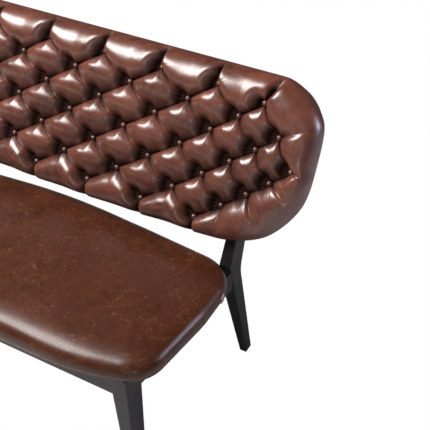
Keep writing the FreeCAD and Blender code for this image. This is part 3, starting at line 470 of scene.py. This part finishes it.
def diamond_out(fullness):
    """Height of a diamond: lowest at its buttons, low along its folds, puffed in between."""
    to_right = shares[:, None]
    to_left = shares[None]
    base = BUTTON_LOW + (GROOVE - BUTTON_LOW) * (1 - (1 - arch(to_right)) * (1 - arch(to_left)))
    base = base + SOFT_FOLD * arch(to_right) * (1 - arch(to_left)) ** 2
    puff = pillow(to_right, *PUFF_TO_RIGHT) * pillow(to_left, *PUFF_TO_LEFT)
    return base + ((CREST - GROOVE) * fullness + CREST_SPARE) * puff


for row in range(ROWS - 2):
    for column in columns_of(row):
        if column in columns_of(row + 2):
            plan = diamond_plan(top=(row, column), right=(row + 1, column + 1),
                                left=(row + 1, column - 1), foot=(row + 2, column))
            width = column_across(column + 1) - column_across(column - 1)
            collect(plan, diamond_out(width / (2 * COLUMN_STEP)))


# Back: border from the outermost buttons to the rim, tucked in behind it
BACK_OUTLINE = [(652, 489, 118), (641, 80, 200), (0, 63, 8000), (-641, 80, 200), (-652, 489, 118)]
OUTLINE_STEP = 4.0
HIT_SLACK = 1e-9
HUB_HEIGHT = 300.0
RIM = 19.3
REAR = 4.0
REAR_INSET = 8.0
BORDER_ROWS = 46
TUCK_ROWS = 9
TUCK_POLE = 9.0
ROLL_REACH = 0.28
ROLL_NEAR = 98.0
ROLL_FAR = 69.0
PLEAT_DIP = 150.0
PLEAT_FADE = 0.3
END_PLEAT = 0.75
END_FADE = 3
DIVE_WIDTH = 0.17
LIP_WIDTH = 0.03
EASE_STEPS = 70
EASE_START = 0.12
EASE_SPAN = 0.35
outline = rounded_path(BACK_OUTLINE, OUTLINE_STEP)
outline_span = np.roll(outline, -1, axis=0) - outline


def outline_hits(starts, ways):
    """Where straight lines from points leave the outline."""
    hits = []
    for start, way in zip(starts, ways):
        cross = way[0] * outline_span[:, 1] - way[1] * outline_span[:, 0]
        gap = outline - start
        with np.errstate(divide="ignore", invalid="ignore"):
            along = (gap[:, 0] * outline_span[:, 1] - gap[:, 1] * outline_span[:, 0]) / cross
            part = (gap[:, 0] * way[1] - gap[:, 1] * way[0]) / cross
        good = (part >= -HIT_SLACK) & (part <= 1 + HIT_SLACK) & (along > 0)
        hits.append(start + way * along[good].max())
    return np.array(hits)


last_row = ROWS - 1
top_end = last_column(0)
foot_end = last_column(last_row)
ring = [((column + top_end) % 2, column) for column in range(-top_end, top_end + 1)]
ring += [(row, last_column(row)) for row in range(1, ROWS)]
ring += [(last_row - (column + foot_end) % 2, column) for column in range(foot_end - 1, -foot_end, -1)]
ring += [(row, -last_column(row)) for row in range(last_row, 0, -1)]


def spoke_way(button):
    """Direction of the pleat or ridge from an edge button to the rim."""
    row, column = button
    if abs(column) > foot_end and not (row == 1 and abs(column) < top_end):
        hub = np.array([math.copysign(column_across(foot_end + 1), column), HUB_HEIGHT])
        way = spot(*button) - hub
        return way / np.linalg.norm(way)
    return np.array([0.0, 1.0 if row < ROWS / 2 else -1.0])


def is_pleat(button):
    """Whether a pleat runs from an edge button; the inner buttons of the zigzag have none."""
    row, column = button
    return row in (0, last_row) or abs(column) == last_column(row)


def pleat_depth(button, part):
    """Depth of a pleat from its button to the rim; those at the ends of the back die out."""
    if not is_pleat(button):
        return np.zeros_like(part)
    at_end = abs(button[1]) > foot_end and button[0] > 0
    fade = END_PLEAT * (1 - part) ** END_FADE if at_end else (1 - part) ** PLEAT_FADE
    return PLEAT_DIP * part * (1 - part) * fade


def bezier(share, first, near, far, last):
    """A cubic curve from one value to another, drawn towards two more on its way."""
    drawn = 3 * share * (1 - share) ** 2 * near + 3 * share ** 2 * (1 - share) * far + share ** 3 * last
    return (1 - share) ** 3 * first + drawn


outward = spread(BORDER_ROWS)[:, None]
reach = bezier(outward, 0, ROLL_REACH, 1, 1)
border_blocks, pleat_blocks, way_blocks = [], [], []
for index, button in enumerate(ring):
    follower = ring[(index + 1) % len(ring)]
    base_line = fold_line(button, follower)
    ways = np.outer(1 - shares, spoke_way(button)) + np.outer(shares, spoke_way(follower))
    ways /= np.linalg.norm(ways, axis=1)[:, None]
    rim_line = outline_hits(base_line, ways)
    along_foot = button[0] >= last_row - 1 and follower[0] >= last_row - 1
    widths = (DIVE_WIDTH, LIP_WIDTH) if along_foot else (LIP_WIDTH, DIVE_WIDTH)
    falls_right = (follower[0] - button[0]) * (follower[1] - button[1]) > 0
    fold_rise = GROOVE - BUTTON_LOW + (SOFT_FOLD if falls_right else 0)
    base_out = BUTTON_LOW + fold_rise * arch(shares)
    plan = base_line[None] * (1 - reach)[..., None] + rim_line[None] * reach[..., None]
    out = bezier(outward, base_out[None], ROLL_NEAR, ROLL_FAR, RIM)
    pleats = pleat_depth(button, outward) * np.exp(-shares / widths[0])[None]
    pleats = pleats + pleat_depth(follower, outward) * np.exp(-(1 - shares) / widths[1])[None]
    border_blocks.append(np.concatenate([plan, out[..., None]], axis=2)[:, :-1])
    pleat_blocks.append(pleats[:, :-1])
    way_blocks.append(ways[:-1])

# The border's panels run smoothly past the inner buttons of the zigzag; then the pleats are drawn in
border = np.concatenate(border_blocks, axis=1)
eased = border.copy()
for _ in range(EASE_STEPS):
    eased = (np.roll(eased, 1, axis=1) + 2 * eased + np.roll(eased, -1, axis=1)) / 4
ease = np.clip((outward - EASE_START) / EASE_SPAN, 0, 1)
ease = (ease ** 2 * (3 - 2 * ease))[..., None]
border = border * (1 - ease) + eased * ease
border[..., 2] -= np.concatenate(pleat_blocks, axis=1)
ways = np.concatenate(way_blocks)
tuck = np.linspace(0, 1, TUCK_ROWS)[1:, None]
tuck_plan = border[-1:, :, :2] - ways[None] * (tuck ** 2 * REAR_INSET)[..., None]
tuck_out = (1 - tuck) ** 2 * RIM + 2 * tuck * (1 - tuck) * TUCK_POLE + tuck ** 2 * REAR
tuck_out = np.repeat(tuck_out, len(ways), axis=1)
border_plan = np.concatenate([border[..., :2], tuck_plan])
border_out = np.concatenate([border[..., 2], tuck_out])
collect(border_plan, border_out, closed=True)

# Back: pockets beside the buttons, dimples under them, wrinkles that run from them, a slight unevenness
FRONT_FROM = RIM + 4.0
POCKET_WAY = math.radians(177)
POCKET_FAN = 1.3
POCKET_REACH = 47.0
POCKET_DEPTH = 27.0
POCKET_FLOOR = 43.0
DIMPLE_REACH = 7.0
DIMPLE_DEPTH = 4.0
RANDOM_SEED = 7
WRINKLE_COUNTS = (13, 20)
WRINKLE_STRENGTHS = (0.5, 1.2)
WRINKLE_TWIST = 0.05
WRINKLE_AT = 18.0
WRINKLE_SPAN = 12.0
WRINKLE_DEPTH = 0.3
POCKET_WRINKLE = 2.0
SECOND_COUNT = 5
SECOND_SHARE = 0.5
UNEVEN_SIZE = 34.0
UNEVEN_SLICE = 0.3
UNEVEN_DEPTH = 1.1
UNEVEN_START = 25.0
# Painted shade: where the mask that darkens the back's pockets begins and how far it reaches.
HOLLOW_TOP = 66.0
HOLLOW_SPAN = 19.0
HOLLOW_REACH = 46.0
HOLLOW_EDGE = 12.0
back = np.concatenate(back_points)
draws = np.random.default_rng(RANDOM_SEED)
offset = back[:, None, :2] - BUTTON_SPOTS[None]
distance = np.linalg.norm(offset, axis=2)
nearest = distance.argmin(axis=1)
every_point = np.arange(len(back))
near = distance[every_point, nearest]
bearing = np.arctan2(offset[every_point, nearest, 1], offset[every_point, nearest, 0])
folds = draws.integers(*WRINKLE_COUNTS, len(BUTTONS))[nearest]
phase = draws.uniform(0, 2 * math.pi, len(BUTTONS))[nearest]
strength = draws.uniform(*WRINKLE_STRENGTHS, len(BUTTONS))[nearest]
front = back[:, 2] > FRONT_FROM
pocket = np.clip(np.cos(bearing - POCKET_WAY), 0, 1) ** POCKET_FAN
pocket = pocket * np.clip(1 - (near / POCKET_REACH) ** 2, 0, 1) ** 2
sunk = np.maximum(back[:, 2] - POCKET_DEPTH * pocket, np.minimum(back[:, 2], POCKET_FLOOR))
back[:, 2] = np.where(front, sunk, back[:, 2])
back[:, 2] -= front * DIMPLE_DEPTH * np.exp(-(near / DIMPLE_REACH) ** 2)
wrinkle = np.cos(folds * bearing + phase + near * WRINKLE_TWIST)
wrinkle = wrinkle + SECOND_SHARE * np.cos((folds + SECOND_COUNT) * bearing - phase)
wrinkle = wrinkle * strength * np.exp(-((near - WRINKLE_AT) / WRINKLE_SPAN) ** 2)
back[:, 2] += front * (WRINKLE_DEPTH + POCKET_WRINKLE * pocket) * wrinkle
uneven_at = back[:, :2] / UNEVEN_SIZE
uneven = np.array([noise.noise(Vector((x, y, UNEVEN_SLICE))) for x, y in uneven_at])
back[:, 2] += front * UNEVEN_DEPTH * uneven * np.clip(near / UNEVEN_START, 0, 1)

# Painted shade: a mask for the deep pockets next to the buttons, darkened in the leather's colour.
painted_hollow_shade = front * np.clip((HOLLOW_TOP - back[:, 2]) / HOLLOW_SPAN, 0, 1)
painted_hollow_shade = painted_hollow_shade * np.clip((HOLLOW_REACH - near) / HOLLOW_EDGE, 0, 1)
back_shape = leaned(back[:, 0], back[:, 1], back[:, 2])
back_leather = add_piece("back_leather", back_shape, back_faces, BACK_LEATHER, painted_hollow_shade)
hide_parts("back_cover", "back_foam")

# Seat: rings from the drawn-in foot, up the side, over the roll and across the crown
SEAT_HALF = [(326, -314, 600), (496, -270, 95), (519, -50, 300), (516, 122, 96)]
SEAT_OUTLINE = SEAT_HALF + [(0, 159, 1500)] + [(-x, y, radius) for x, y, radius in reversed(SEAT_HALF)]
SEAT_STEP = 5.0
SEAT_FOOT = 391.2
SEAT_RISE = 67.0
SEAT_CROWN_RADIUS = 9000.0
SEAT_PROFILE = [(26, 1.5), (12, 0), (7.8, 0), (5, 0.9), (2.4, 3.2), (0.8, 7), (0, 13), (0, 20), (0.6, 27),
                (2.2, 34), (5, 41), (9, 47), (14, 52), (20, 56), (27, 59), (35, 61.2), (44, 62.9),
                (54, 64.2), (64, 65)]
CROWN_RINGS = 25
CROWN_LIFT = 1.5
SPINE_SHARE = 0.72
SPINE_AT = -80.0
WAVE_SIZES = np.array([90.0, 90.0, 60.0])
WAVE_DEPTH = 0.9
WAVE_FROM = SEAT_FOOT + 12.0
seat_path = rounded_path(SEAT_OUTLINE, SEAT_STEP)
tangent = np.roll(seat_path, -1, axis=0) - np.roll(seat_path, 1, axis=0)
tangent /= np.linalg.norm(tangent, axis=1)[:, None]
inward = np.stack([-tangent[:, 1], tangent[:, 0]], axis=1)


def seat_ring(plan, height):
    """A ring of the seat; the crown falls away from the middle."""
    fall = (plan ** 2).sum(axis=-1) / (2 * SEAT_CROWN_RADIUS) * height / SEAT_RISE
    return np.column_stack([plan, SEAT_FOOT + height - fall])


seat_rings = [seat_ring(seat_path + inward * inset, height) for inset, height in SEAT_PROFILE]
roll_inset, roll_height = SEAT_PROFILE[-1]
inner = seat_path + inward * roll_inset
spine = np.column_stack([inner[:, 0] * SPINE_SHARE, np.full(len(inner), SPINE_AT)])
for part in np.linspace(0, 1, CROWN_RINGS + 1)[1:]:
    height = roll_height + (SEAT_RISE + CROWN_LIFT - roll_height) * (1 - (1 - part) ** 2)
    seat_rings.append(seat_ring(inner + (spine - inner) * part, height))
seat_points = np.concatenate(seat_rings)
waves = np.array([noise.noise(Vector(point)) for point in seat_points / WAVE_SIZES])
seat_points[:, 2] += WAVE_DEPTH * waves * (seat_points[:, 2] > WAVE_FROM)
seat_faces = grid_faces(len(seat_rings), len(seat_path), 0, closed=True)
seat_leather = add_piece("seat_leather", seat_points, seat_faces, SEAT_LEATHER)
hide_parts("seat_cover", "seat_foam")


# Floor, light and world
FLOOR_HALF = 12.0
FLOOR_CORNERS = [(-FLOOR_HALF, -FLOOR_HALF, 0), (FLOOR_HALF, -FLOOR_HALF, 0),
                 (FLOOR_HALF, FLOOR_HALF, 0), (-FLOOR_HALF, FLOOR_HALF, 0)]


def floor_material():
    """A pale floor that reads as the photograph's white ground."""
    material, tree, shader, _ = new_material("floor")
    shader.inputs["Base Color"].default_value = (0.5, 0.5, 0.5, 1)
    shader.inputs["Roughness"].default_value = 0.9
    glow = node(tree, "ShaderNodeEmission", {"Color": (1, 1, 1, 1), "Strength": 1.0})
    path = node(tree, "ShaderNodeLightPath")
    both = node(tree, "ShaderNodeMixShader")
    tree.links.new(path.outputs["Is Camera Ray"], both.inputs[0])
    tree.links.new(shader.outputs[0], both.inputs[1])
    tree.links.new(glow.outputs[0], both.inputs[2])
    tree.links.new(both.outputs[0], tree.nodes["Material Output"].inputs["Surface"])
    return material


floor_mesh = bpy.data.meshes.new("floor")
floor_mesh.from_pydata(FLOOR_CORNERS, [], [(0, 1, 2, 3)])
floor_mesh.materials.append(floor_material())
floor = bpy.data.objects.new("floor", floor_mesh)
bpy.context.scene.collection.objects.link(floor)


def softbox(name, place, target, width, height, power, colour):
    """An area light aimed at a point."""
    data = bpy.data.lights.new(name, "AREA")
    data.shape = "RECTANGLE"
    data.size = width
    data.size_y = height
    data.energy = power
    data.color = colour
    lamp = bpy.data.objects.new(name, data)
    lamp.location = place
    lamp.rotation_euler = (Vector(target) - Vector(place)).to_track_quat("-Z", "Y").to_euler()
    bpy.context.scene.collection.objects.link(lamp)


softbox("overhead", place=(-0.95, -1.0, 2.95), target=(0.0, 0.0, 0.5),
        width=1.9, height=1.7, power=225, colour=(1.0, 0.96, 0.94))
softbox("right_edge", place=(2.9, 1.2, 1.2), target=(0.4, 0.0, 0.6),
        width=0.6, height=1.2, power=34, colour=(0.84, 0.8, 1.0))
softbox("end_strip", place=(2.7, -2.9, 0.9), target=(0.6, 0.0, 0.65),
        width=0.3, height=1.3, power=12, colour=(1.0, 0.95, 0.93))
softbox("front_fill", place=(1.6, -3.4, 1.6), target=(0.2, 0.0, 0.5),
        width=2.2, height=1.6, power=5, colour=(1.0, 0.98, 0.96))

world = bpy.data.worlds.new("world")
world.use_nodes = True
sky = world.node_tree
background = sky.nodes["Background"]
background.inputs["Color"].default_value = (0.9, 0.92, 0.95, 1)
background.inputs["Strength"].default_value = 0.08
white = node(sky, "ShaderNodeBackground", {"Color": (1, 1, 1, 1), "Strength": 1.0})
sky_path = node(sky, "ShaderNodeLightPath")
sky_mix = node(sky, "ShaderNodeMixShader")
sky.links.new(sky_path.outputs["Is Camera Ray"], sky_mix.inputs[0])
sky.links.new(background.outputs[0], sky_mix.inputs[1])
sky.links.new(white.outputs[0], sky_mix.inputs[2])
sky.links.new(sky_mix.outputs[0], sky.nodes["World Output"].inputs["Surface"])
bpy.context.scene.world = world
bpy.context.scene.view_settings.view_transform = "Standard"
